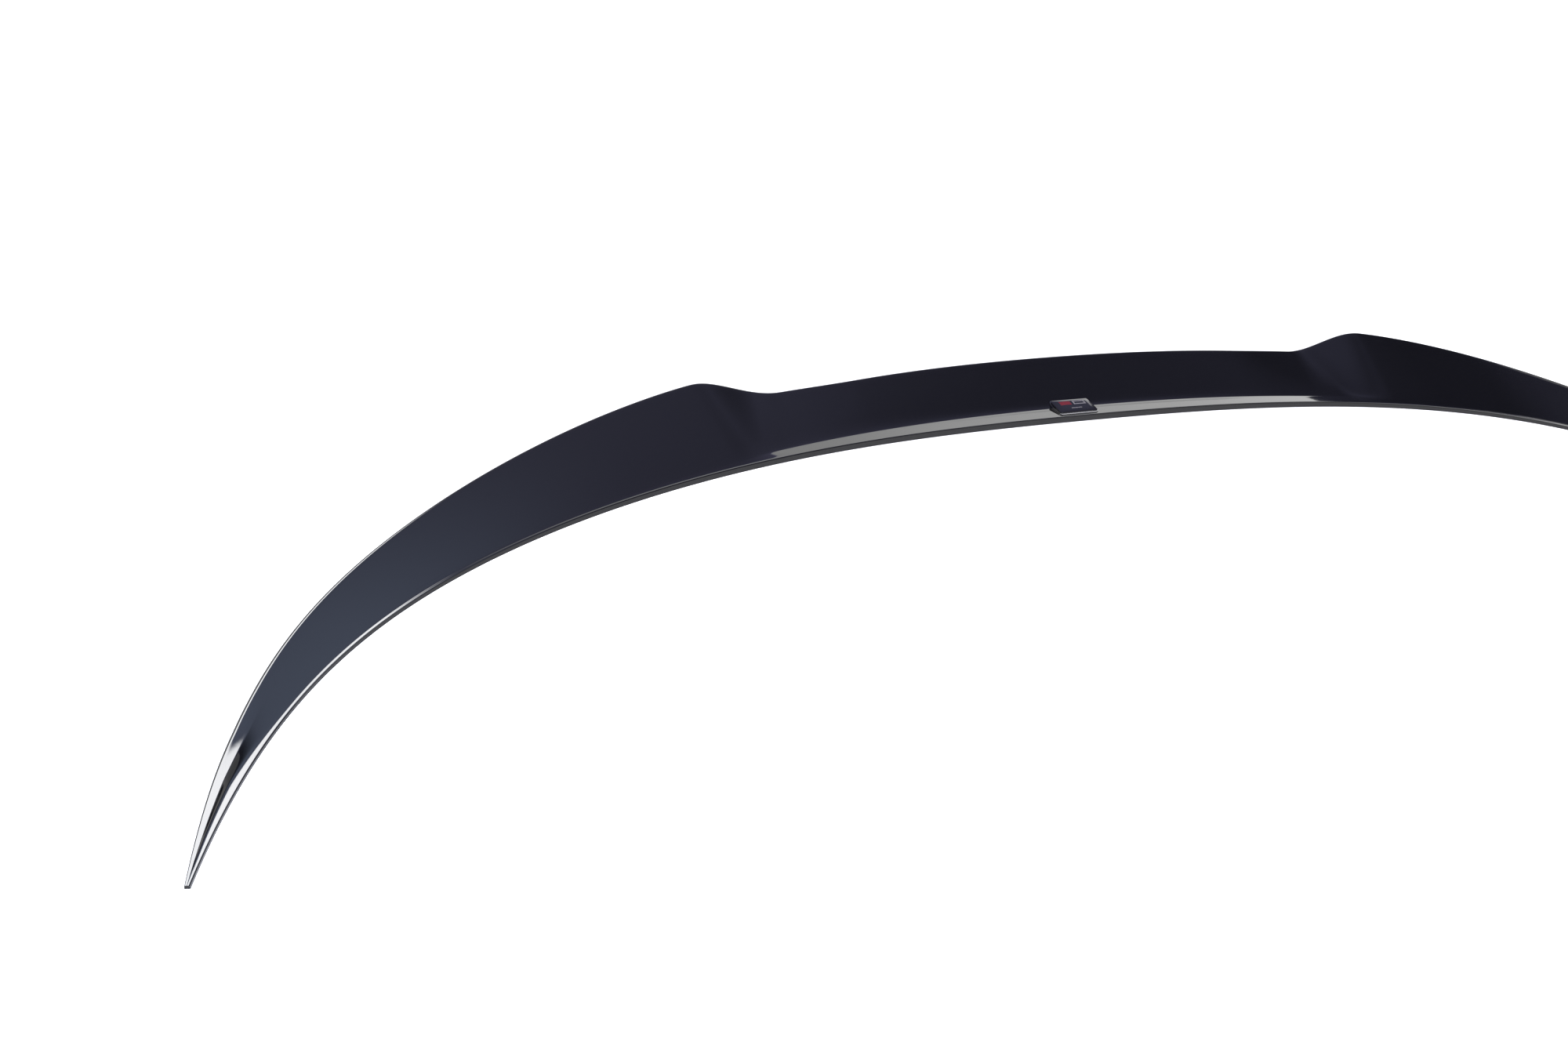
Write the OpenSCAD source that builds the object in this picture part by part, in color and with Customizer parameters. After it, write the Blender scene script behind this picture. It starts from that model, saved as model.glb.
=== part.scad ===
// Rear spoiler for a car: a moulded lip that seats along the rear edge of a boot lid.
// The middle is a low lip with a shallow sweep up, each side rises to a kick, and the
// ends thin out to points that follow the boot lid forward and down.
// Origin: middle of the lower front edge. X runs across the car, +Y to the rear, +Z up.

/* [Front edge] */
// Width between the two ends of the front edge
span_w = 1200; // [1000:10:1400]
// How far the ends reach forward of the middle
sweep_d = 249; // [150:1:300]
// Share of that reach that builds up evenly from the middle
sweep_even = 0.38; // [0.25:0.01:0.5]
// How late and how sharply the ends turn forward
sweep_power = 10.5; // [7:0.5:13]
// How far the ends hang below the middle
end_drop = 107; // [60:1:130]
// How late the drop sets in
drop_power = 3.06; // [2.4:0.02:3.6]

/* [Rear edge] */
// Depth of the section at the middle, front wall to rear edge
mid_d = 55; // [48:0.5:70]
// Depth of the section at the kicks
kick_d = 71; // [60:0.5:85]
// Depth of the section at the very ends
end_d = 2.5; // [2:0.1:5]
// How late the depth tapers off towards the ends
depth_power = 3.4; // [2.6:0.1:4.2]
// Height of the rear edge at the middle
mid_h = 34.5; // [28:0.5:42]
// Height of the rear edge at the dips beside the kicks
dip_h = 29.5; // [24:0.5:36]
// Height of the rear edge at the kicks
kick_h = 44; // [36:0.5:54]
// Height of the rear edge at the very ends
end_h = 1.9; // [1.6:0.1:4]
// How early the rear edge falls from the kicks
fall_power = 1.3; // [1.1:0.02:1.6]
// Distance from the middle at which the section starts to deepen
widen_x = 146; // [100:1:170]
// Distance of each dip from the middle
dip_x = 198; // [180:1:220]
// Distance of each kick's peak from the middle
kick_x = 258; // [240:1:300]
// Radius of the rolled rear edge
roll_r = 2.5; // [1.5:0.1:4]
// How far the foot of the rear wall is tucked in under the rear edge
tuck_d = 6; // [2:0.5:10]
// How far the foot of the rear wall lies below the front edge
heel_drop = 3; // [0:0.5:6]

/* [Ends] */
// Distance from the ends, across the car, at which the top starts to flatten behind a ridge
flat_fade = 58; // [45:1:80]
// Distance from the ends, across the car, from which the top is flat
flat_end = 20; // [10:1:35]
// Where the ridge lies at the ends, as a share of the way from the lip to the rear edge
ridge_share = 0.25; // [0.2:0.01:0.4]
// How far the rear edge sinks at the ends, as a share of the height
rear_sink = 0.14; // [0:0.01:0.2]

/* [Front lip] */
// Height of the front wall at the middle
front_h = 4.1; // [3.5:0.1:6]
// Height of the front wall at the very ends
front_end_h = 1.6; // [1.2:0.1:2.5]
// Lean of the front wall, in degrees from upright
front_lean = 6; // [0:1:15]
// Radius of the corner over the front wall
front_r = 0.8; // [0.4:0.1:1.4]
// Width of the narrow flat strip along the whole front edge
strip_w = 2; // [1.6:0.1:3]
// Largest width of that strip at the ends
strip_end_w = 4; // [2:0.1:5]
// Depth of the flat lip behind the strip, at the middle
lip_d = 15; // [12:0.5:18]
// Depth of the flat lip behind the strip, beside the kicks
lip_kick_d = 8; // [5:0.5:12]
// Slope of the flat lip at the middle, in degrees
lip_slope = 10; // [6:0.5:12]
// Slope of the flat lip where the kicks start, and of the strip outside them, in degrees
lip_side_slope = 8.5; // [5:0.5:12]
// Slope of the strip at the ends, in degrees
lip_end_slope = 3; // [0:0.5:6]
// How much flatter the lip stays than the surface behind it, in degrees, beside the kicks
lip_crease = 6; // [2:1:12]
// Distance from the middle at which the lip behind the strip starts to turn up
lip_x = 218; // [190:1:235]
// Distance from the middle at which the flat lip runs out
lip_end_x = 410; // [370:5:450]

/* [Moulding] */
// Wall of the shell
wall = 3; // [2:0.1:4]
// Width of the front land that carries the adhesive
front_land = 13; // [9:0.5:14]
// Width of the plain edge in front of the adhesive recess
edge_w = 2; // [1.5:0.1:3]
// Depth of the adhesive recess
recess_d = 1; // [0.5:0.1:1.5]
// Width of the rear land, turned in from the foot of the rear wall
rear_land = 9; // [6:0.5:11]
// Taper of the moulded steps for release from the mould
draft_w = 0.4; // [0.2:0.1:0.8]
// Distance from the ends, across the car, at which the hollow starts to close
hollow_fade = 110; // [80:5:140]
// Distance from the ends, across the car, at which the shell is solid
hollow_end = 50; // [30:5:70]

/* [Badge] */
// Width of the badge's label
badge_w = 30; // [20:1:60]
// Depth of the badge's label, front to rear
badge_d = 17; // [10:0.5:18]
// Corner radius of the label
badge_r = 2; // [1:0.1:3.5]
// Thickness of the label
label_t = 0.5; // [0.3:0.1:1]
// Width of the label's edge that shows around the dome
label_edge = 0.4; // [0.2:0.1:1]
// Height of the dome's straight side
dome_side = 0.3; // [0.1:0.1:0.6]
// Height of the dome over its side
dome_h = 1; // [0.4:0.1:1.5]
// Distance from the front edge to the badge
badge_in = 3.5; // [3:0.1:5]
// Thickness of the adhesive under the badge
glue_t = 0.2; // [0.15:0.05:0.4]
// Clearance between the label and the dome
dome_gap = 0.05; // [0.03:0.01:0.1]

/* [Hidden] */

half_w = span_w / 2;
// Power by which the front wall loses height towards the ends
front_power = 1.6;
// Largest share of the section's height or depth that the rolled rear edge takes
round_share = 0.32;
// Largest share of the front wall that the front corner takes
front_share = 0.6;
// Lengths of the concave bend behind the lip, ahead of and behind its corner
bend_front = 2.5;
bend_rear = 12;
// Largest share of the flat lip and of the surface behind it that the bend takes
bend_share = 0.45;
// Softness of the inner corner under the bend
inner_soft = 5;
// Shortest lip, in the ends, and the largest share of the depth that it takes there
lip_min = 2;
lip_share = 0.12;
// Largest share of the depth that the strip takes, and of the strip that the front corner takes
strip_share = 0.3;
corner_share = 0.8;
// Where the ridge lies inside the ends, where it is part of the straight rise
ridge_in = 0.6;
// Distance over which the stations stay close together behind each kick
kick_zone = 60;
// Share of the half width at which the ends start to turn in
turn_share = 0.8;
// Points on each curve of the section
corner_steps = 4;
bend_steps = 5;
roll_steps = 6;
inner_steps = 6;
// Rows on each rounded corner and on the rest of the badge, and columns on half its width
corner_rows = 4;
middle_rows = 8;
half_columns = 5;
// How squarely the dome keeps its height towards its sides
dome_power = 5;

function along(a, b, n) = [for (i = [0:n - 1]) a + (b - a) * i / n];
function mix(a, b, k) = a + (b - a) * k;
function ease(k) = let (c = min(max(k, 0), 1)) c * c * (3 - 2 * c);
function polar(a) = [cos(a), sin(a)];
function heading(v) = atan2(v[1], v[0]);
function soft_max(a, b, k) = max(a, b) + pow(max(k - abs(a - b), 0), 2) / (4 * k);
// Where the line through p along direction a meets the line through q along direction b
function meet(p, a, q, b) =
    let (d = a[0] * b[1] - a[1] * b[0], r = q - p)
    p + a * (r[0] * b[1] - r[1] * b[0]) / d;

// Stations across one half, closer where the shape turns, and then across the whole width
half_stations = concat(
    along(0, widen_x, 9),
    along(widen_x, dip_x, 6),
    along(dip_x, kick_x, 13),
    along(kick_x, kick_x + kick_zone, 8),
    along(kick_x + kick_zone, turn_share * half_w, 10),
    along(turn_share * half_w, half_w, 25),
    [half_w]
);
half_count = len(half_stations);
stations = concat(
    [for (i = [half_count - 1:-1:1]) -half_stations[i]],
    half_stations
);

// The lower front edge, and the direction that points to the rear square to it
function edge_y(u) = -sweep_d * (sweep_even * pow(u, 2) + (1 - sweep_even) * pow(u, sweep_power));
function edge_z(u) = -end_drop * pow(u, drop_power);
function edge_point(x) = let (u = abs(x) / half_w) [x, edge_y(u), edge_z(u)];
function edge_slope(x) =
    let (u = abs(x) / half_w, even = 2 * sweep_even * u)
    let (late = sweep_power * (1 - sweep_even) * pow(u, sweep_power - 1))
    -sign(x) * sweep_d * (even + late) / half_w;
function rearward(x) =
    let (k = edge_slope(x), n = sqrt(1 + k * k))
    [-k / n, 1 / n, 0];

// Sizes of the section at distance x from the middle
function taper(x) = 1 - pow(x / half_w, depth_power);
function inner_height(x) = mid_h - (mid_h - dip_h) * pow(x / dip_x, 2);
function outer_height(x) =
    let (v = max(x - kick_x, 0) / (half_w - kick_x))
    mix(kick_h, end_h, pow(v, fall_power));
// Where the top flattens, the rear edge sinks and moves out by the same distance
function end_share(x) = ease((x - half_w + flat_fade) / (flat_fade - flat_end));
function sink(x) = rear_sink * end_share(x) * outer_height(x);
function depth(x) =
    let (wide = mix(mid_d, kick_d, ease((x - widen_x) / (kick_x - widen_x))))
    end_d + (wide - end_d) * taper(x) + sink(x);
function height(x) =
    x > kick_x ? outer_height(x) - sink(x)
    : mix(inner_height(x), outer_height(x), ease((x - dip_x) / (kick_x - dip_x)));
function front_height(x) = mix(front_h, front_end_h, pow(x / half_w, front_power));
function kick_share(x) = ease((x - lip_x) / (kick_x - lip_x));
function lip_depth(x) =
    let (wide = mix(lip_d, lip_kick_d, kick_share(x)))
    max(wide * (1 - pow(x / lip_end_x, 2)), min(lip_min, lip_share * depth(x)));

// The front wall's upper corner before it is rounded, and the strip behind it
function lip_corner(x) = let (h = front_height(x)) [h * tan(front_lean), h];
function strip_angle(x) =
    mix(mix(lip_slope, lip_side_slope, ease(x / lip_x)), lip_end_slope, end_share(x));
function strip_width(x) = min(mix(strip_w, strip_end_w, end_share(x)), strip_share * depth(x));
function strip_end(x) = lip_corner(x) + strip_width(x) * polar(strip_angle(x));
// Centre of the rolled rear edge
function roll_radius(x) = min(roll_r, round_share * height(x), round_share * depth(x));
function roll_centre(x) = let (r = roll_radius(x)) [depth(x) - r, height(x) - r];
// Direction of the straight line from p that touches the top of the rolled edge
function rise_angle(x, p) =
    let (v = roll_centre(x) - p)
    heading(v) + asin(roll_radius(x) / norm(v));
function lip_angle(x) =
    mix(strip_angle(x), rise_angle(x, strip_end(x)) - lip_crease * taper(x), kick_share(x));
function bend_corner(x) = strip_end(x) + lip_depth(x) * polar(lip_angle(x));
// The ridge, which lies on the straight rise until the top flattens at the ends
function ridge(x) =
    let (b = bend_corner(x), at = mix(ridge_in, ridge_share, end_share(x)))
    let (s = mix(b[0], roll_centre(x)[0], at))
    let (straight = b[1] + (s - b[0]) * tan(rise_angle(x, b)))
    [s, mix(straight, height(x), end_share(x))];
function upper_angle(x) = rise_angle(x, ridge(x));

// The seat line runs straight from the front edge to the foot of the rear wall
function rear_foot(x) = [depth(x) - tuck_d * taper(x), -heel_drop * taper(x)];
function seat_height(x, s) = rear_foot(x)[1] * s / rear_foot(x)[0];
function rear_angle(x) =
    let (v = rear_foot(x) - roll_centre(x))
    heading(v) - asin(roll_radius(x) / norm(v));

// Outside of the section, from the front foot over the top to the foot of the rear wall
function front_curve(x) =
    let (lean = 90 - front_lean, slope = strip_angle(x), half_turn = tan((lean - slope) / 2))
    let (room = min(front_share * front_height(x), corner_share * strip_width(x)))
    let (r = min(front_r, room / half_turn))
    let (start = lip_corner(x) - r * half_turn * polar(lean))
    let (centre = start + r * polar(lean - 90))
    [for (i = [0:corner_steps]) centre + r * polar(mix(lean, slope, i / corner_steps) + 90)];
function bend_curve(x) =
    let (q = bend_corner(x), a = polar(lip_angle(x)), b = polar(heading(ridge(x) - q)))
    let (run = mix(norm(roll_centre(x) - q), norm(ridge(x) - q), end_share(x)))
    let (p = q - a * min(bend_front, bend_share * lip_depth(x)))
    let (r = q + b * min(bend_rear, bend_share * run))
    [for (i = [0:bend_steps]) let (t = i / bend_steps) mix(mix(p, q, t), mix(q, r, t), t)];
function roll_curve(x) =
    let (c = roll_centre(x), r = roll_radius(x), from = upper_angle(x) + 90, to = rear_angle(x) + 90)
    [for (i = [0:roll_steps]) c + r * polar(mix(from, to, i / roll_steps))];
function outside(x) =
    concat(
        [[0, 0]], front_curve(x), [strip_end(x)], bend_curve(x),
        [ridge(x)], roll_curve(x), [rear_foot(x)]
    );

// Inside of the section, from the rear land over the hollow to the front edge
function inside(x) =
    let (up = upper_angle(x), down = rear_angle(x), lip = lip_angle(x), k = taper(x))
    let (roll = roll_centre(x), r = roll_radius(x), foot = rear_foot(x))
    let (skin = roll + (r - wall) * polar(up + 90), back = roll + (r - wall) * polar(down + 90))
    let (under_lip = strip_end(x) - wall * polar(lip + 90))
    let (peak = meet(skin, polar(up), back, polar(down)))
    let (base = meet(foot + [0, wall], [1, 0], back, polar(down)))
    let (land_s = foot[0] - rear_land * k, front_s = front_land * k)
    concat(
        [[land_s, seat_height(x, land_s)], [land_s + draft_w, foot[1] + wall], base],
        [for (i = [0:inner_steps])
            let (s = mix(peak[0], front_s + draft_w, i / inner_steps))
            let (over_lip = under_lip[1] + (s - under_lip[0]) * tan(lip))
            let (over_rise = skin[1] + (s - skin[0]) * tan(up))
            [s, i == 0 ? peak[1] : soft_max(over_lip, over_rise, inner_soft * k)]],
        [[front_s, seat_height(x, front_s) + recess_d * k]],
        [[edge_w * k + draft_w, seat_height(x, edge_w * k) + recess_d * k]],
        [[edge_w * k, seat_height(x, edge_w * k)]]
    );
// Towards the ends the inside closes onto the seat line, evenly spaced
function closed_inside(x, count) =
    [for (i = [1:count]) let (s = rear_foot(x)[0] * (1 - i / (count + 1))) [s, seat_height(x, s)]];
function section(x) =
    let (k = ease((x - half_w + hollow_fade) / (hollow_fade - hollow_end)))
    let (flat = closed_inside(x, inner_steps + 7))
    concat(outside(x), k < 1 ? mix(inside(x), flat, k) : flat);
function placed(x) =
    let (p = edge_point(x), n = rearward(x))
    [for (q = section(abs(x))) p + n * q[0] + [0, 0, q[1]]];

function middle_of(ring) = [for (p = ring) 1] * ring / len(ring);

// The whole moulding is one skin through all sections, closed at each end by a fan of faces
module spoiler_shell() {
    rings = [for (x = stations) placed(x)];
    count = len(rings[0]);
    last = len(rings) - 1;
    left_tip = len(rings) * count;
    right_tip = left_tip + 1;
    points = concat(
        [for (ring = rings) for (p = ring) p],
        [middle_of(rings[0]), middle_of(rings[last])]
    );
    sides = [
        for (i = [0:last - 1])
            for (j = [0:count - 1])
                let (a = i * count + j, b = i * count + (j + 1) % count)
                each [[a, b, b + count], [a, b + count, a + count]]
    ];
    ends = [
        for (j = [0:count - 1])
            let (k = (j + 1) % count)
            each [[k, j, left_tip], [last * count + j, last * count + k, right_tip]]
    ];
    color([0.03, 0.03, 0.035])
        polyhedron(points = points, faces = concat(sides, ends), convexity = 8);
}

// Height of the outside over the front edge, at distance s behind it
function outside_height(x, s) = lookup(s, concat(front_curve(x), bend_curve(x)));
// A point over the outside: across from the badge's middle, behind its front edge, and up
function over_lip(across, back, up) =
    let (s = badge_in + back)
    edge_point(across) + rearward(across) * s + [0, 0, outside_height(abs(across), s) + up];
// Positions from the front of a sheet to its rear, closer together on its round corners
function sheet_rows(d, r) =
    let (corner = [for (i = [0:corner_rows - 1]) r * (1 - cos(90 * i / corner_rows))])
    concat(
        corner,
        [for (i = [0:middle_rows]) mix(r, d - r, i / middle_rows)],
        [for (i = [corner_rows - 1:-1:0]) d - corner[i]]
    );
function sheet_half(b, w, d, r) =
    let (e = max(r - min(b, d - b), 0))
    w / 2 - r + sqrt(max(r * r - e * e, 0));
function crown(a, b) = sqrt(max((1 - pow(abs(a), dome_power)) * (1 - pow(abs(b), dome_power)), 0));

// A thin body with round corners that lies on the lip, its top raised to a crown
module lip_sheet(w, d, r, low, high, crown_h) {
    inset = (badge_d - d) / 2;
    rows = sheet_rows(d, r);
    columns = [for (i = [-half_columns:half_columns]) sin(90 * i / half_columns)];
    across = len(columns);
    count = len(rows) * across;
    top = [
        for (b = rows)
            for (c = columns)
                let (lift = crown_h * crown(c * sheet_half(b, w, d, r) * 2 / w, 2 * b / d - 1))
                over_lip(c * sheet_half(b, w, d, r), inset + b, high + lift)
    ];
    bottom = [for (b = rows) for (c = columns) over_lip(c * sheet_half(b, w, d, r), inset + b, low)];
    border = concat(
        [for (i = [0:across - 1]) i],
        [for (j = [1:len(rows) - 1]) (j + 1) * across - 1],
        [for (i = [across - 2:-1:0]) count - across + i],
        [for (j = [len(rows) - 2:-1:1]) j * across]
    );
    faces = concat(
        [for (j = [0:len(rows) - 2]) for (i = [0:across - 2])
            let (k = j * across + i)
            each [
                [k, k + across, k + across + 1], [k, k + across + 1, k + 1],
                [count + k, count + k + across + 1, count + k + across],
                [count + k, count + k + 1, count + k + across + 1]
            ]],
        [for (i = [0:len(border) - 1])
            let (a = border[i], b = border[(i + 1) % len(border)])
            each [[a, b, count + b], [a, count + b, count + a]]]
    );
    polyhedron(points = concat(top, bottom), faces = faces, convexity = 4);
}

// Metallised label, stuck on the lip and bent up with it at its rear
module badge_label() {
    color([0.72, 0.72, 0.74])
        lip_sheet(badge_w, badge_d, badge_r, glue_t, glue_t + label_t, 0);
}

// Resin dome that is cast on the label
module badge_dome() {
    low = glue_t + label_t + dome_gap;
    color([0.02, 0.02, 0.02])
        lip_sheet(
            badge_w - 2 * label_edge, badge_d - 2 * label_edge, badge_r - label_edge / 2,
            low, low + dome_side, dome_h
        );
}

spoiler_shell();
badge_label();
badge_dome();
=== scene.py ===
"""Looks of the boot lid spoiler: a gloss black moulding with a blank domed badge, in a pale studio."""
from functools import cache
from math import asin, atan2, cos, degrees, hypot, radians, sin, tan

import bpy
import numpy as np
from mathutils import Matrix, Vector


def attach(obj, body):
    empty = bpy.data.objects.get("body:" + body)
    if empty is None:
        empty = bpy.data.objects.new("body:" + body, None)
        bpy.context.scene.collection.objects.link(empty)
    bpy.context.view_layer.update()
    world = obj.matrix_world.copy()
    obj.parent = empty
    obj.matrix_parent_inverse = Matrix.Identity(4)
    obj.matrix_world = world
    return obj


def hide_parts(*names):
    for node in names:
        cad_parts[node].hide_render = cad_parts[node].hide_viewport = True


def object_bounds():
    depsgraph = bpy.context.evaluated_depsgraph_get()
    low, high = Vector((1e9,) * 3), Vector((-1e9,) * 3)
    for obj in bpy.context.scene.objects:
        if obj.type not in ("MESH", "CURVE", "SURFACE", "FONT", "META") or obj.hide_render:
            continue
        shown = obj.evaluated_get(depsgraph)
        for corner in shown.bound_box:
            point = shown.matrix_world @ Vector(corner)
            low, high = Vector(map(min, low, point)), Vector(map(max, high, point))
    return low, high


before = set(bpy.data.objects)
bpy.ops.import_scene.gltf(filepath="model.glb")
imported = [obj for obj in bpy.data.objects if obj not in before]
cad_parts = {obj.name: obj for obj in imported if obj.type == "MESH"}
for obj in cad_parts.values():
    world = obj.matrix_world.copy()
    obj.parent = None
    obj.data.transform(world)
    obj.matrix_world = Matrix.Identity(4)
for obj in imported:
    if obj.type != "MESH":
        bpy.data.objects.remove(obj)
cad_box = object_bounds()

MM = 0.001

# Sizes of the moulding, in millimetres, as in the part's source
HALF_W = 600
SWEEP_D = 249
SWEEP_EVEN = 0.38
SWEEP_POWER = 10.5
END_DROP = 107
DROP_POWER = 3.06
MID_D = 55
KICK_D = 71
END_D = 2.5
DEPTH_POWER = 3.4
MID_H = 34.5
DIP_H = 29.5
KICK_H = 44
END_H = 1.9
FALL_POWER = 1.3
WIDEN_X = 146
DIP_X = 198
KICK_X = 258
ROLL_R = 2.5
TUCK_D = 6
HEEL_DROP = 3
FLAT_FADE = 58
FLAT_END = 20
RIDGE_SHARE = 0.25
RIDGE_IN = 0.6
REAR_SINK = 0.14
FRONT_H = 4.1
FRONT_END_H = 1.6
FRONT_POWER = 1.6
FRONT_LEAN = 6
FRONT_R = 0.8
FRONT_SHARE = 0.6
STRIP_W = 2
STRIP_END_W = 4
STRIP_SHARE = 0.3
LIP_D = 15
LIP_KICK_D = 8
LIP_SLOPE = 10
LIP_SIDE_SLOPE = 8.5
LIP_END_SLOPE = 3
LIP_CREASE = 6
LIP_X = 218
LIP_END_X = 410
LIP_MIN = 2
LIP_SHARE = 0.12
CORNER_SHARE = 0.8
ROUND_SHARE = 0.32
BEND_FRONT = 2.5
BEND_REAR = 12
BEND_SHARE = 0.45
WALL = 3
FRONT_LAND = 13
EDGE_W = 2
RECESS_D = 1
REAR_LAND = 9
DRAFT_W = 0.4
HOLLOW_FADE = 110
HOLLOW_END = 50
INNER_SOFT = 5

# Sizes of the badge, in millimetres
BADGE_W = 30
BADGE_D = 17
BADGE_R = 2
BADGE_IN = 3.5
GLUE_T = 0.2
LABEL_T = 0.5
LABEL_EDGE = 0.4
DOME_GAP = 0.05
DOME_SIDE = 0.3
DOME_H = 0.65
DOME_POWER = 5
DOME_FLAT = 1

# How finely the moulding is drawn: stations in each span of one half, and points on each curve
SPAN_STEPS = (40, 22, 44, 24, 40, 90)
TURN_SHARE = 0.8
KICK_ZONE = 60
CORNER_STEPS = 8
BEND_STEPS = 16
RISE_STEPS = 5
ROLL_STEPS = 12
WALL_STEPS = 4
STRIP_STEPS = 3
RIDGE_STEPS = 4
RIDGE_SOFT = 0.08
INNER_STEPS = 22
# Points of the inside: three on the rear land, those under the skin and three on the front land
INNER_COUNT = 3 + INNER_STEPS + 1 + 3
BADGE_CORNER_ROWS = 7
BADGE_MIDDLE_ROWS = 22
BADGE_COLUMNS = 14
# Edges that turn by more than this many degrees stay sharp
SHELL_SHARP = 32
BADGE_SHARP = 40

# The camera of the photograph, in metres, degrees and, for lens and sensor, millimetres
CAMERA_AT = (-0.5916, -0.9521, 0.2683)
CAMERA_YAW = 21.33
CAMERA_PITCH = 17.27
CAMERA_ROLL = 0.33
CAMERA_REACH = 100
CAMERA_LENS = 37.8
SENSOR_W = 36
# The side of the square floor, in metres
FLOOR_W = 40


def ease(k):
    c = min(max(k, 0), 1)
    return c * c * (3 - 2 * c)


def mix(a, b, k):
    return a + (b - a) * k


def polar(angle):
    return np.array([cos(radians(angle)), sin(radians(angle))])


def soft_max(a, b, k):
    return max(a, b) + max(k - abs(a - b), 0) ** 2 / (4 * k)


def meet(p, a, q, b):
    """Where the line through p along a meets the line through q along b."""
    d = a[0] * b[1] - a[1] * b[0]
    r = q - p
    return p + a * (r[0] * b[1] - r[1] * b[0]) / d


# The lower front edge, and the direction that points to the rear square to it


def edge_point(x):
    u = abs(x) / HALF_W
    y = -SWEEP_D * (SWEEP_EVEN * u**2 + (1 - SWEEP_EVEN) * u**SWEEP_POWER)
    return np.array([x, y, -END_DROP * u**DROP_POWER])


def rearward(x):
    u = abs(x) / HALF_W
    late = SWEEP_POWER * (1 - SWEEP_EVEN) * u ** (SWEEP_POWER - 1)
    k = -np.sign(x) * SWEEP_D * (2 * SWEEP_EVEN * u + late) / HALF_W
    n = hypot(1, k)
    return np.array([-k / n, 1 / n, 0])


# Sizes of the section at distance x from the middle


def taper(x):
    return 1 - (x / HALF_W) ** DEPTH_POWER


def end_share(x):
    """How far the top has flattened behind its ridge, towards the ends."""
    return ease((x - HALF_W + FLAT_FADE) / (FLAT_FADE - FLAT_END))


def outer_height(x):
    v = max(x - KICK_X, 0) / (HALF_W - KICK_X)
    return mix(KICK_H, END_H, v**FALL_POWER)


def sink(x):
    return REAR_SINK * end_share(x) * outer_height(x)


def depth(x):
    wide = mix(MID_D, KICK_D, ease((x - WIDEN_X) / (KICK_X - WIDEN_X)))
    return END_D + (wide - END_D) * taper(x) + sink(x)


def height(x):
    if x > KICK_X:
        return outer_height(x) - sink(x)
    inner = MID_H - (MID_H - DIP_H) * (x / DIP_X) ** 2
    return mix(inner, outer_height(x), ease((x - DIP_X) / (KICK_X - DIP_X)))


def front_height(x):
    return mix(FRONT_H, FRONT_END_H, (x / HALF_W) ** FRONT_POWER)


def kick_share(x):
    return ease((x - LIP_X) / (KICK_X - LIP_X))


def lip_depth(x):
    wide = mix(LIP_D, LIP_KICK_D, kick_share(x))
    return max(wide * (1 - (x / LIP_END_X) ** 2), min(LIP_MIN, LIP_SHARE * depth(x)))


def lip_corner(x):
    h = front_height(x)
    return np.array([h * tan(radians(FRONT_LEAN)), h])


def strip_angle(x):
    return mix(mix(LIP_SLOPE, LIP_SIDE_SLOPE, ease(x / LIP_X)), LIP_END_SLOPE, end_share(x))


def strip_width(x):
    return min(mix(STRIP_W, STRIP_END_W, end_share(x)), STRIP_SHARE * depth(x))


def strip_end(x):
    return lip_corner(x) + strip_width(x) * polar(strip_angle(x))


def roll_radius(x):
    return min(ROLL_R, ROUND_SHARE * height(x), ROUND_SHARE * depth(x))


def roll_centre(x):
    r = roll_radius(x)
    return np.array([depth(x) - r, height(x) - r])


def rise_angle(x, p):
    """Direction of the straight line from p that touches the top of the rolled rear edge."""
    v = roll_centre(x) - p
    return degrees(atan2(v[1], v[0]) + asin(roll_radius(x) / hypot(*v)))


def lip_angle(x):
    far = rise_angle(x, strip_end(x)) - LIP_CREASE * taper(x)
    return mix(strip_angle(x), far, kick_share(x))


def bend_corner(x):
    return strip_end(x) + lip_depth(x) * polar(lip_angle(x))


def ridge(x):
    """Lies on the straight rise until the top flattens at the ends."""
    b = bend_corner(x)
    s = mix(b[0], roll_centre(x)[0], mix(RIDGE_IN, RIDGE_SHARE, end_share(x)))
    straight = b[1] + (s - b[0]) * tan(radians(rise_angle(x, b)))
    return np.array([s, mix(straight, height(x), end_share(x))])


def upper_angle(x):
    return rise_angle(x, ridge(x))


def rear_foot(x):
    return np.array([depth(x) - TUCK_D * taper(x), -HEEL_DROP * taper(x)])


def seat_height(x, s):
    foot = rear_foot(x)
    return foot[1] * s / foot[0]


def rear_angle(x):
    v = rear_foot(x) - roll_centre(x)
    return degrees(atan2(v[1], v[0]) - asin(roll_radius(x) / hypot(*v)))


# The section, as points behind and above the lower front edge


def front_curve(x):
    lean = 90 - FRONT_LEAN
    slope = strip_angle(x)
    half_turn = tan(radians((lean - slope) / 2))
    room = min(FRONT_SHARE * front_height(x), CORNER_SHARE * strip_width(x))
    r = min(FRONT_R, room / half_turn)
    start = lip_corner(x) - r * half_turn * polar(lean)
    centre = start + r * polar(lean - 90)
    return [centre + r * polar(mix(lean, slope, i / CORNER_STEPS) + 90) for i in range(CORNER_STEPS + 1)]


def bend_curve(x):
    q = bend_corner(x)
    to_ridge = ridge(x) - q
    run = mix(hypot(*(roll_centre(x) - q)), hypot(*to_ridge), end_share(x))
    p = q - polar(lip_angle(x)) * min(BEND_FRONT, BEND_SHARE * lip_depth(x))
    r = q + to_ridge / hypot(*to_ridge) * min(BEND_REAR, BEND_SHARE * run)
    return curve(p, q, r, BEND_STEPS)


def curve(p, q, r, steps):
    """Runs from p to r and turns evenly at q."""
    return [mix(mix(p, q, t), mix(q, r, t), t) for t in np.linspace(0, 1, steps + 1)]


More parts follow.
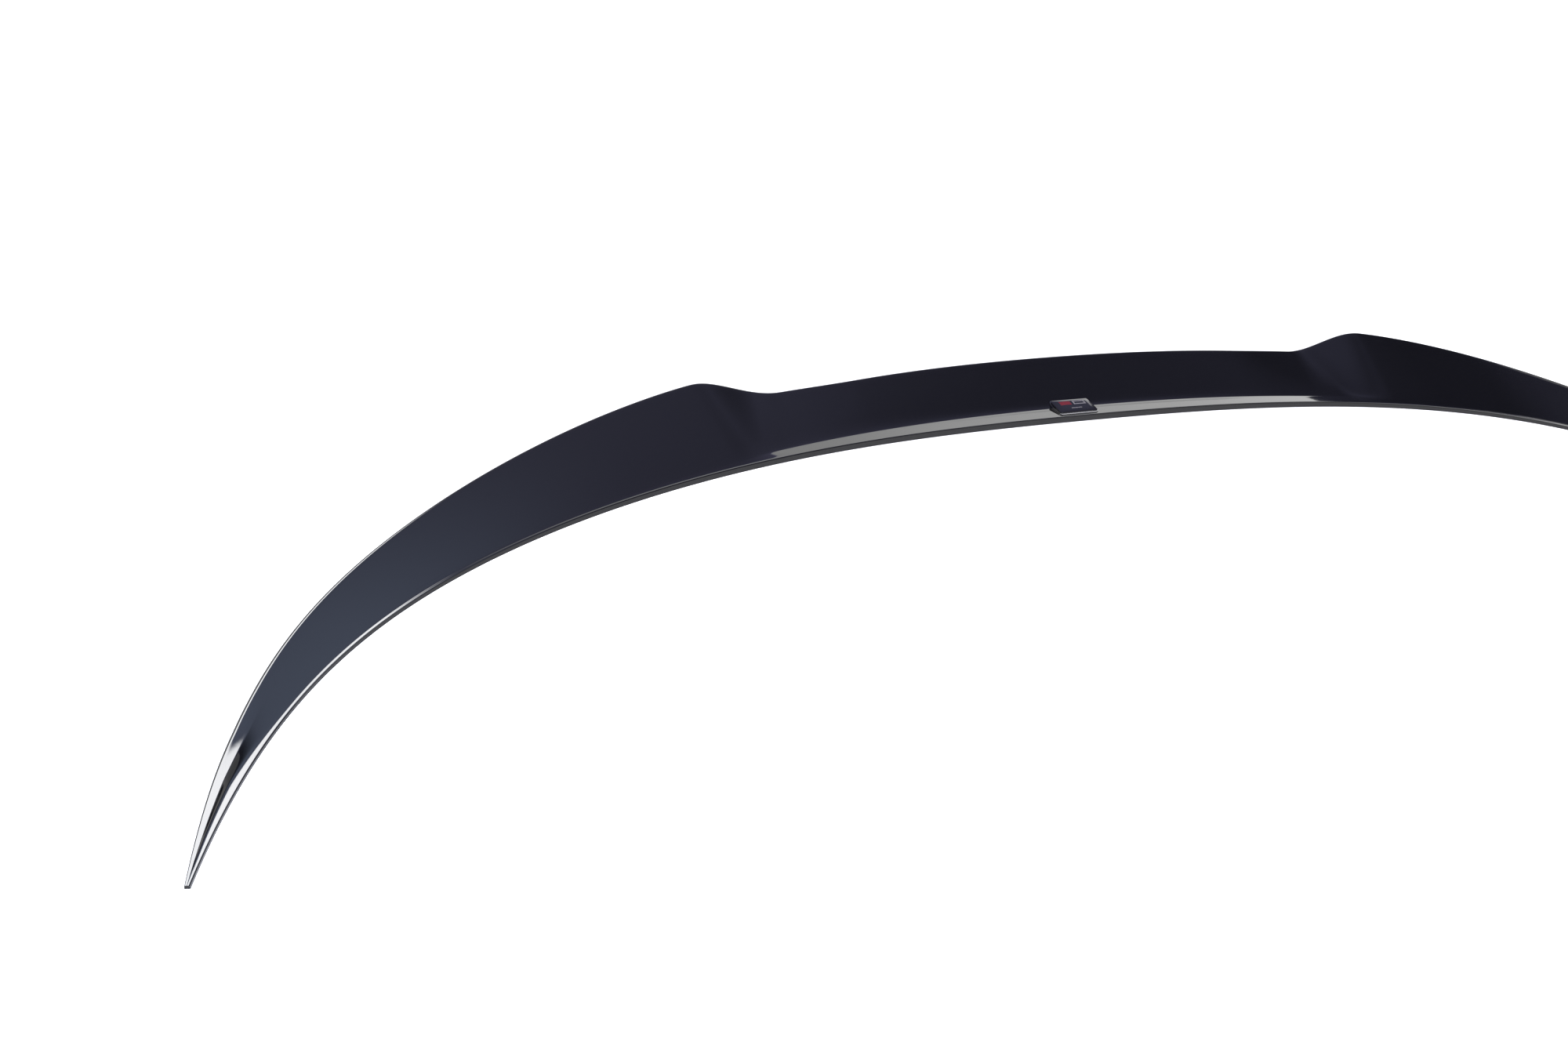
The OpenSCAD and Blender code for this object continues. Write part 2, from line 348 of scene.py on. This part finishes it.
def roll_curve(x):
    turn = np.linspace(upper_angle(x) + 90, rear_angle(x) + 90, ROLL_STEPS + 1)
    return [roll_centre(x) + roll_radius(x) * polar(a) for a in turn]


def between(p, q, steps):
    """Points strictly between p and q."""
    return [mix(p, q, i / steps) for i in range(1, steps)]


def outside(x):
    front = front_curve(x)
    edge = strip_end(x)
    bend = bend_curve(x)
    top = ridge(x)
    roll = roll_curve(x)
    foot = rear_foot(x)
    toe = np.zeros(2)
    knuckle = curve(mix(top, bend[-1], RIDGE_SOFT), top, mix(top, roll[0], RIDGE_SOFT), RIDGE_STEPS)
    points = [toe] + between(toe, front[0], WALL_STEPS) + front
    points += between(front[-1], edge, STRIP_STEPS) + [edge] + between(edge, bend[0], RISE_STEPS) + bend
    points += between(bend[-1], knuckle[0], RISE_STEPS) + knuckle
    points += between(knuckle[-1], roll[0], RISE_STEPS) + roll
    return points + between(roll[-1], foot, WALL_STEPS) + [foot]


def inside(x):
    """From the rear land over the hollow and back to the front edge."""
    up = upper_angle(x)
    down = rear_angle(x)
    lip = lip_angle(x)
    k = taper(x)
    roll = roll_centre(x)
    r = roll_radius(x)
    foot = rear_foot(x)
    skin = roll + (r - WALL) * polar(up + 90)
    back = roll + (r - WALL) * polar(down + 90)
    under_lip = strip_end(x) - WALL * polar(lip + 90)
    peak = meet(skin, polar(up), back, polar(down))
    base = meet(foot + (0, WALL), np.array([1, 0]), back, polar(down))
    land_s = foot[0] - REAR_LAND * k
    front_s = FRONT_LAND * k
    points = [np.array([land_s, seat_height(x, land_s)]), np.array([land_s + DRAFT_W, foot[1] + WALL]), base]
    for i in range(INNER_STEPS + 1):
        s = mix(peak[0], front_s + DRAFT_W, i / INNER_STEPS)
        over_lip = under_lip[1] + (s - under_lip[0]) * tan(radians(lip))
        over_rise = skin[1] + (s - skin[0]) * tan(radians(up))
        top = peak[1] if i == 0 else soft_max(over_lip, over_rise, INNER_SOFT * k)
        points.append(np.array([s, top]))
    edge_s = EDGE_W * k
    points.append(np.array([front_s, seat_height(x, front_s) + RECESS_D * k]))
    points.append(np.array([edge_s + DRAFT_W, seat_height(x, edge_s) + RECESS_D * k]))
    points.append(np.array([edge_s, seat_height(x, edge_s)]))
    return points


def closed_inside(x):
    """The seat line in even steps, which the inside closes onto towards the ends."""
    spots = [rear_foot(x)[0] * (1 - i / (INNER_COUNT + 1)) for i in range(1, INNER_COUNT + 1)]
    return [np.array([s, seat_height(x, s)]) for s in spots]


def section(x):
    """One closed line round the moulding: first its outside, then its hollow."""
    k = ease((x - HALF_W + HOLLOW_FADE) / (HOLLOW_FADE - HOLLOW_END))
    flat = np.array(closed_inside(x))
    inner = mix(np.array(inside(x)), flat, k) if k < 1 else flat
    return np.vstack([outside(x), inner])


def placed(x, points):
    return edge_point(x) + np.outer(points[:, 0], rearward(x)) + np.outer(points[:, 1], (0, 0, 1))


def stations():
    ends = (0, WIDEN_X, DIP_X, KICK_X, KICK_X + KICK_ZONE, TURN_SHARE * HALF_W, HALF_W)
    half = [0]
    for a, b, n in zip(ends, ends[1:], SPAN_STEPS):
        half += [mix(a, b, i / n) for i in range(1, n + 1)]
    return [-x for x in reversed(half[1:])] + half


def new_object(name, points, faces, *materials):
    mesh = bpy.data.meshes.new(name)
    mesh.from_pydata([tuple(p * MM) for p in points], [], faces)
    for material in materials:
        mesh.materials.append(material)
    obj = bpy.data.objects.new(name, mesh)
    bpy.context.collection.objects.link(obj)
    return obj


def shade(obj, sharp_angle):
    """Smooth shading, apart from edges that turn more sharply than the angle."""
    mesh = obj.data
    mesh.polygons.foreach_set("use_smooth", [True] * len(mesh.polygons))
    mesh.set_sharp_from_angle(angle=radians(sharp_angle))


def moulding(gloss, moulded):
    """The whole shell as one closed mesh, gloss outside and moulded grain inside."""
    rings = [placed(x, section(abs(x))) for x in stations()]
    count = len(rings[0])
    outer_count = len(outside(0))
    last = len(rings) - 1
    faces = []
    for i in range(last):
        for j in range(count):
            a = i * count + j
            b = i * count + (j + 1) % count
            faces.append((a, a + count, b + count, b))
    faces.append(tuple(range(count)))
    faces.append(tuple(last * count + j for j in reversed(range(count))))
    shell = new_object("shell_skin", np.vstack(rings), faces, gloss, moulded)
    hidden = [int(j % count >= outer_count - 1) for j in range(last * count)]
    shell.data.polygons.foreach_set("material_index", hidden + [0, 0])
    shade(shell, SHELL_SHARP)
    return shell


# The badge


@cache
def lip_line(x):
    """The section's line from the front edge to the end of the bend."""
    return np.array(front_curve(x) + bend_curve(x))


def outside_height(x, s):
    line = lip_line(x)
    return np.interp(s, line[:, 0], line[:, 1])


def over_lip(across, back, up, flat=0):
    """A point over the lip, or with flat 1 over the straight line between the badge's front and rear."""
    s = BADGE_IN + back
    near, far = (outside_height(abs(across), BADGE_IN + end) for end in (0, BADGE_D))
    lift = mix(outside_height(abs(across), s), mix(near, far, back / BADGE_D), flat) + up
    return edge_point(across) + rearward(across) * s + np.array([0, 0, lift])


def sheet_rows(d, r):
    """Distances of the sheet's rows behind its front edge, closer together at the round corners."""
    corner = [r * (1 - cos(radians(90 * i / BADGE_CORNER_ROWS))) for i in range(BADGE_CORNER_ROWS)]
    middle = [mix(r, d - r, i / BADGE_MIDDLE_ROWS) for i in range(BADGE_MIDDLE_ROWS + 1)]
    return corner + middle + [d - c for c in reversed(corner)]


def sheet_half(b, w, d, r):
    """Half the sheet's width in the row at distance b."""
    e = max(r - min(b, d - b), 0)
    return w / 2 - r + max(r * r - e * e, 0) ** 0.5


def crown(a, b):
    """The dome's rise, 1 in the middle and 0 where a or b is -1 or 1."""
    return max((1 - abs(a) ** DOME_POWER) * (1 - abs(b) ** DOME_POWER), 0) ** 0.5


def lip_sheet(name, w, d, r, low, high, crown_h, flat, material):
    """A thin body with round corners on the lip, its top raised to a crown and flat or bent as the lip."""
    inset = (BADGE_D - d) / 2
    rows = sheet_rows(d, r)
    columns = [sin(radians(90 * i / BADGE_COLUMNS)) for i in range(-BADGE_COLUMNS, BADGE_COLUMNS + 1)]
    across = len(columns)
    count = len(rows) * across
    top = []
    bottom = []
    for b in rows:
        half = sheet_half(b, w, d, r)
        for c in columns:
            lift = crown_h * crown(c * half * 2 / w, 2 * b / d - 1)
            top.append(over_lip(c * half, inset + b, high + lift, flat))
            bottom.append(over_lip(c * half, inset + b, low))
    faces = []
    for j in range(len(rows) - 1):
        for i in range(across - 1):
            k = j * across + i
            faces.append((k, k + 1, k + across + 1, k + across))
            faces.append((count + k, count + k + across, count + k + across + 1, count + k + 1))
    border = list(range(across))
    border += [(j + 1) * across - 1 for j in range(1, len(rows))]
    border += [count - across + i for i in range(across - 2, -1, -1)]
    border += [j * across for j in range(len(rows) - 2, 0, -1)]
    for a, b in zip(border, border[1:] + border[:1]):
        faces.append((a, count + a, count + b, b))
    sheet = new_object(name, top + bottom, faces, material)
    shade(sheet, BADGE_SHARP)
    return sheet


# Node helpers, each of which gives the output of the last node that it adds to the tree


def combine(tree, operation, a, b=0):
    """The operation on an output and, where it takes two, on another output or a number."""
    node = tree.nodes.new("ShaderNodeMath")
    node.operation = operation
    tree.links.new(a, node.inputs[0])
    if isinstance(b, (int, float)):
        node.inputs[1].default_value = b
    else:
        tree.links.new(b, node.inputs[1])
    return node.outputs[0]


def blend(tree, share, start, end):
    """A colour between two colours or outputs."""
    node = tree.nodes.new("ShaderNodeMix")
    node.data_type = "RGBA"
    for name, colour in (("A", start), ("B", end)):
        if isinstance(colour, tuple):
            node.inputs[name].default_value = colour
        else:
            tree.links.new(colour, node.inputs[name])
    tree.links.new(share, node.inputs["Factor"])
    return node.outputs["Result"]


def ramp(tree, value, low, high, start, end, smooth=True):
    """Goes from start to end while the value goes from low to high, smoothly or evenly."""
    node = tree.nodes.new("ShaderNodeMapRange")
    node.interpolation_type = "SMOOTHSTEP" if smooth else "LINEAR"
    for name, number in (("From Min", low), ("From Max", high), ("To Min", start), ("To Max", end)):
        node.inputs[name].default_value = number
    tree.links.new(value, node.inputs["Value"])
    return node.outputs["Result"]


def levels(tree, value, spots):
    """Follows pairs of a value and its level, straight between them."""
    low = spots[0][0]
    high = spots[-1][0]
    node = tree.nodes.new("ShaderNodeValToRGB")
    elements = node.color_ramp.elements
    for at, level in spots[1:-1]:
        elements.new((at - low) / (high - low))
    for element, (at, level) in zip(elements, spots):
        element.color = (level, level, level, 1)
    tree.links.new(ramp(tree, value, low, high, 0, 1, smooth=False), node.inputs["Fac"])
    return node.outputs["Color"]


def window(tree, first, second, left, right, low, high):
    """1 inside a frame in two coordinates, 0 outside, with soft borders."""
    share = ramp(tree, first, *left, 0, 1)
    for value, edge, start, end in ((first, right, 1, 0), (second, low, 0, 1), (second, high, 1, 0)):
        share = combine(tree, "MULTIPLY", share, ramp(tree, value, *edge, start, end))
    return share


def coordinates(tree, kind, name):
    """X, Y and Z of the named output of a new node of this kind."""
    place = tree.nodes.new(kind)
    split = tree.nodes.new("ShaderNodeSeparateXYZ")
    tree.links.new(place.outputs[name], split.inputs["Vector"])
    return [split.outputs[axis] for axis in "XYZ"]


def object_noise(tree, scale, detail=3):
    place = tree.nodes.new("ShaderNodeTexCoord")
    noise = tree.nodes.new("ShaderNodeTexNoise")
    noise.inputs["Scale"].default_value = scale
    noise.inputs["Detail"].default_value = detail
    tree.links.new(place.outputs["Object"], noise.inputs["Vector"])
    return noise.outputs["Fac"]


# Materials


def new_material(name, **values):
    """A principled material with the given socket values, its node tree and its shader."""
    material = bpy.data.materials.new(name)
    material.use_nodes = True
    tree = material.node_tree
    shader = tree.nodes["Principled BSDF"]
    for socket, value in values.items():
        shader.inputs[socket.replace("_", " ")].default_value = value
    return material, tree, shader


def roughen(tree, shader, scale, low, high):
    """Lets the roughness wander between low and high, in smaller patches for a larger scale."""
    value = ramp(tree, object_noise(tree, scale), 0, 1, low, high, smooth=False)
    tree.links.new(value, shader.inputs["Roughness"])


def bump(tree, shader, scale, detail, strength, distance):
    node = tree.nodes.new("ShaderNodeBump")
    node.inputs["Strength"].default_value = strength
    node.inputs["Distance"].default_value = distance
    tree.links.new(object_noise(tree, scale, detail), node.inputs["Height"])
    tree.links.new(node.outputs["Normal"], shader.inputs["Normal"])


def gloss_black():
    """Polished black moulding: faint haze in the gloss and a trace of orange peel."""
    material, tree, shader = new_material("gloss_black", Base_Color=(0.0055, 0.0055, 0.0062, 1), IOR=1.5)
    roughen(tree, shader, scale=30, low=0.035, high=0.07)
    bump(tree, shader, scale=160, detail=1, strength=0.02, distance=0.0005)
    return material


def moulded_black():
    """The hidden side as it leaves the mould: dull, with a fine grain."""
    material, tree, shader = new_material("moulded_black", Base_Color=(0.022, 0.022, 0.024, 1), IOR=1.5)
    roughen(tree, shader, scale=90, low=0.38, high=0.55)
    bump(tree, shader, scale=2500, detail=2, strength=0.25, distance=0.0002)
    return material


def label_silver():
    """Satin metallised film."""
    material, tree, shader = new_material("label_silver", Base_Color=(0.5, 0.5, 0.51, 1), Metallic=1)
    roughen(tree, shader, scale=900, low=0.22, high=0.34)
    return material


PRINT_BLACK = (0.008, 0.008, 0.009, 1)
PRINT_RED = (0.3, 0.012, 0.014, 1)
PRINT_PALE = (0.4, 0.38, 0.36, 1)
# Plain blocks printed under the badge's dome, each over the ones before: centre and size in millimetres,
# and colour
BARS = (
    ((-5.6, 14.6), (8.6, 4.4), PRINT_RED),
    ((5.2, 14.6), (9.4, 4.4), PRINT_PALE),
    ((5.2, 14.6), (7.2, 2.2), PRINT_BLACK),
    ((0, 8.2), (8, 0.8), PRINT_PALE),
)


def bar_mask(tree, place, centre, size):
    """1 inside a rectangle of the badge's face, 0 outside, in the part's own coordinates."""
    within = []
    for value, middle, extent in zip(place, centre, size):
        away = combine(tree, "ABSOLUTE", combine(tree, "SUBTRACT", value, middle * MM))
        within.append(combine(tree, "LESS_THAN", away, extent / 2 * MM))
    return combine(tree, "MULTIPLY", *within)


def dome_black():
    """Clear resin over a black print with plain blocks."""
    material, tree, shader = new_material("dome_black", IOR=1.5)
    place = coordinates(tree, "ShaderNodeTexCoord", "Object")
    colour = PRINT_BLACK
    for centre, size, paint in BARS:
        colour = blend(tree, bar_mask(tree, place, centre, size), colour, paint)
    tree.links.new(colour, shader.inputs["Base Color"])
    roughen(tree, shader, scale=400, low=0.04, high=0.09)
    return material


def floor_white():
    """Matt white that also glows, so that the floor stays plain white."""
    material, tree, shader = new_material(
        "floor_white", Roughness=0.9, Specular_IOR_Level=0.1,
        Emission_Color=(1, 1, 1, 1), Emission_Strength=0.8
    )
    tint = blend(tree, object_noise(tree, 3), (0.86, 0.86, 0.86, 1), (0.88, 0.88, 0.88, 1))
    tree.links.new(tint, shader.inputs["Base Color"])
    return material


# Studio


def camera():
    """Looks along +Y turned by the yaw towards +X, and down by the pitch."""
    yaw, pitch, roll = (radians(a) for a in (CAMERA_YAW, CAMERA_PITCH, CAMERA_ROLL))
    ahead = Vector((sin(yaw) * cos(pitch), cos(yaw) * cos(pitch), -sin(pitch)))
    level = Vector((cos(yaw), -sin(yaw), 0))
    upright = level.cross(ahead)
    right = level * cos(roll) + upright * sin(roll)
    up = upright * cos(roll) - level * sin(roll)
    data = bpy.data.cameras.new("camera")
    data.lens = CAMERA_LENS
    data.sensor_width = SENSOR_W
    data.sensor_fit = "HORIZONTAL"
    data.clip_end = CAMERA_REACH
    obj = bpy.data.objects.new("camera", data)
    turn = Matrix((right, up, -ahead)).transposed().to_4x4()
    obj.matrix_world = Matrix.Translation(CAMERA_AT) @ turn
    bpy.context.collection.objects.link(obj)
    bpy.context.scene.camera = obj


# The surroundings. An azimuth is in degrees from +Y towards +X. Every other place is the X, Y or Z of a
# direction of length 1: X for the ceiling's levels, Y for its fades, and Z for heights.
# A wall all round, with its brightness and its upper edge by azimuth
WALL_LEVELS = (
    (-180, 1), (-150, 1), (-125, 0.4), (-60, 0.4), (-35, 1), (-20, 1), (25, 1.55), (31, 1.95),
    (36, 2.1), (40, 2.1), (47, 2.4), (60, 1.6), (72, 0.7), (100, 0.5), (120, 1), (180, 1)
)
WALL_TOPS = (
    (-180, 0.3), (-160, 0.3), (-140, 0.605), (-40, 0.605), (-20, 0.72), (10, 0.72), (22, 0.605), (40, 0.605),
    (45, 0.6), (47, 0.33), (58, 0.33), (64, 0.577), (150, 0.577), (165, 0.3), (180, 0.3)
)
WALL_SOFT = 0.008
# A dim ceiling that gets darker along +X, sooner in the middle than at the rear
CEILING_LEVELS = (
    (-1, 0.34), (0.18, 0.34), (0.27, 0.31), (0.36, 0.28), (0.44, 0.2), (0.49, 0.15),
    (0.57, 0.15), (0.64, 0.1), (0.7, 0.06), (0.755, 0.055), (0.79, 0.12), (1, 0.12)
)
REAR_LEVELS = (
    (-1, 0.34), (0.18, 0.34), (0.3, 0.3), (0.38, 0.28), (0.52, 0.27),
    (0.6, 0.12), (0.66, 0.07), (0.755, 0.055), (0.79, 0.12), (1, 0.12)
)
# Where along Y the rear levels take over, and where and how far the ceiling is dimmed at the front
REAR_FADE = (0.05, 0.3)
FRONT_DIM = (-0.2, -0.05)
FRONT_LEVEL = 0.6
# A softbox at the right: how bright, and where it fades in and out by azimuth and by height
SIDE_BOX = (4, (84, 90), (128, 140), (0.3, 0.4), (0.719, 0.788))
CEILING_TINT = (1, 1, 1.6, 1)
WHITE = (1, 1, 1, 1)

# Area lights low over the left end: middle and size in metres, power in watts, colour, and where they fade
# in and out along X and Y. The first is a faint glow over the end, the second a small softbox behind it.
END_LIGHTS = (
    (
        (-0.53, -0.155, 0.15), (0.5, 0.49), 1.3, (0.78, 1, 1.36),
        (-0.78, -0.65), (-0.5, -0.28), (-0.4, -0.25), (-0.2, 0.09)
    ),
    (
        (-0.61, 0.15, 0.3), (0.34, 0.2), 2.9, (1, 1, 1),
        (-0.78, -0.72), (-0.52, -0.45), (0.05, 0.08), (0.18, 0.25)
    ),
)


def surroundings():
    """The world: the wall, and over it the ceiling with the softbox."""
    world = bpy.data.worlds.new("studio")
    bpy.context.scene.world = world
    world.use_nodes = True
    tree = world.node_tree
    across, along, up = coordinates(tree, "ShaderNodeTexCoord", "Generated")
    azimuth = combine(tree, "MULTIPLY", combine(tree, "ARCTAN2", across, along), degrees(1))

    over = combine(tree, "SUBTRACT", up, levels(tree, azimuth, WALL_TOPS))
    wall = ramp(tree, over, -WALL_SOFT, WALL_SOFT, 1, 0)
    front = ramp(tree, along, *FRONT_DIM, FRONT_LEVEL, 1)
    rear = ramp(tree, along, *REAR_FADE, 0, 1)
    middle = blend(tree, rear, levels(tree, across, CEILING_LEVELS), levels(tree, across, REAR_LEVELS))
    ceiling = combine(tree, "MULTIPLY", middle, front)

    box_level, *box_edges = SIDE_BOX
    box = window(tree, azimuth, up, *box_edges)
    high = combine(tree, "MAXIMUM", ceiling, combine(tree, "MULTIPLY", box, box_level))
    sky = blend(tree, box, CEILING_TINT, WHITE)

    low = levels(tree, azimuth, WALL_LEVELS)
    light = combine(tree, "ADD", high, combine(tree, "MULTIPLY", wall, combine(tree, "SUBTRACT", low, high)))
    # The camera itself sees plain white
    seen = tree.nodes.new("ShaderNodeLightPath").outputs["Is Camera Ray"]
    background = tree.nodes["Background"]
    tree.links.new(blend(tree, combine(tree, "MAXIMUM", wall, seen), sky, WHITE), background.inputs["Color"])
    tree.links.new(combine(tree, "MAXIMUM", light, seen), background.inputs["Strength"])


def end_light(at, size, power, tint, *edges):
    """A light that shines down and that the camera doesn't see."""
    data = bpy.data.lights.new("end_light", "AREA")
    data.shape = "RECTANGLE"
    data.size, data.size_y = size
    data.energy = power
    data.color = tint
    data.use_nodes = True
    tree = data.node_tree
    across, along, _ = coordinates(tree, "ShaderNodeNewGeometry", "Position")
    share = window(tree, across, along, *edges)
    tree.links.new(share, tree.nodes["Emission"].inputs["Strength"])
    obj = bpy.data.objects.new("end_light", data)
    obj.location = at
    obj.visible_camera = False
    bpy.context.collection.objects.link(obj)


def floor(level):
    half = FLOOR_W / 2
    corners = ((-half, -half), (half, -half), (half, half), (-half, half))
    points = [np.array((x, y, level)) / MM for x, y in corners]
    plane = new_object("floor", points, [(0, 1, 2, 3)], floor_white())


camera()
surroundings()
for light in END_LIGHTS:
    end_light(*light)

shell = moulding(gloss_black(), moulded_black())
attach(shell, "root")
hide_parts("spoiler_shell")

label_top = GLUE_T + LABEL_T
label = lip_sheet("label_foil", BADGE_W, BADGE_D, BADGE_R, GLUE_T, label_top, 0, 0, label_silver())
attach(label, "root")
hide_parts("badge_label")

dome_low = label_top + DOME_GAP
dome = lip_sheet(
    "dome_resin", BADGE_W - 2 * LABEL_EDGE, BADGE_D - 2 * LABEL_EDGE, BADGE_R - LABEL_EDGE / 2,
    dome_low, dome_low + DOME_SIDE, DOME_H, DOME_FLAT, dome_black()
)
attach(dome, "root")
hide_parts("badge_dome")

floor(cad_box[0][2])

bpy.context.scene.view_settings.view_transform = "Standard"
